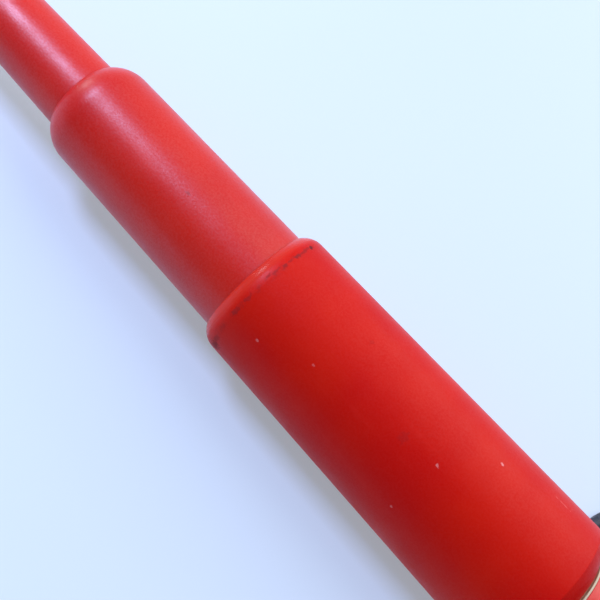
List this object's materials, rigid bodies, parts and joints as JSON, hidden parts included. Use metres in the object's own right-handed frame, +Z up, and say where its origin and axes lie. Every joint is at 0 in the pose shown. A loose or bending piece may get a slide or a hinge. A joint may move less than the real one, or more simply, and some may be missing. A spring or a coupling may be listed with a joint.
{
  "type": "traffic baton light",
  "caption": "Hand-held red traffic wand: telescoping lit tubes on a torch handle with a push switch, bayonet battery cap, anti-roll tail guard and wrist lanyard.",
  "frame": {"origin": "on the surface that the baton lies on, below the middle of its extended length", "axes": "+X along the baton towards the handle's tail, the tip towards -X; +Z up, the switch on top"},
  "size_m": [0.3986, 0.088, 0.0424],
  "materials": {
    "lit_red": "satin translucent",
    "shell_red": "satin",
    "nylon": "satin",
    "seal_cream": "matte",
    "black_rubber": "matte",
    "black_plastic": "satin",
    "lens_clear": "clear",
    "white_plastic": "gloss",
    "led_red": "gloss",
    "board_green": "gloss",
    "steel": "brushed",
    "brass": "plain",
    "cell_wrap": "gloss",
    "wire_red": "plain",
    "wire_black": "plain",
    "cord_black": "braided"
  },
  "bodies": {
    "handle": {"outer_tube": "lit_red", "lens": "lens_clear", "lens_gasket": "black_rubber", "lamp_cup": "black_plastic", "reflector": "white_plastic", "led_board": "board_green", "led_carrier": "white_plastic", "board_screws": "steel", "leds": "led_red", "lamp_nut": "black_plastic", "head_seal": "seal_cream", "lamp_collar": "shell_red", "handle_barrel": "shell_red", "collar_screws": "steel", "grip_sleeve": "black_rubber", "switch_bezel": "black_plastic", "return_dome": "black_rubber", "tact_switch": "black_plastic", "switch_board": "board_green", "contact_carrier": "black_plastic", "front_contact": "brass", "cell_front": "cell_wrap", "cell_rear": "cell_wrap", "contact_strip": "brass", "wire_positive": "wire_red", "wire_negative": "wire_black", "tail_guard": "black_rubber", "lanyard_anchor": "black_plastic", "lanyard": "cord_black", "lanyard_lock": "black_plastic"},
    "mid": {"mid_tube": "lit_red", "mid_stop_ring": "nylon"},
    "tip": {"tip_tube": "lit_red", "tip_stop_ring": "nylon", "tip_cap": "lit_red"},
    "button": {"power_button": "black_rubber"},
    "cap": {"battery_cap": "black_plastic", "cap_seal": "black_rubber", "tail_spring": "steel", "tail_magnet": "steel"}
  },
  "joints": [
    {"name": "mid_slide", "type": "slide", "parent": "handle", "child": "mid", "axis": [1, 0, 0], "range_m": [0, 0.064]},
    {"name": "tip_slide", "type": "slide", "parent": "mid", "child": "tip", "axis": [1, 0, 0], "range_m": [0, 0.065]},
    {"name": "power_press", "type": "slide", "parent": "handle", "child": "button", "axis": [0, 0, -1], "range_m": [0, 0.0015], "stiffness_N_per_m": 800, "springref_m": -0.002, "deforming": ["return_dome"]},
    {"name": "cap_turn", "type": "hinge", "parent": "handle", "child": "cap", "pos_m": [0.1912, 0, 0.0212], "axis": [1, 0, 0], "range_deg": [0, 40]}
  ]
}
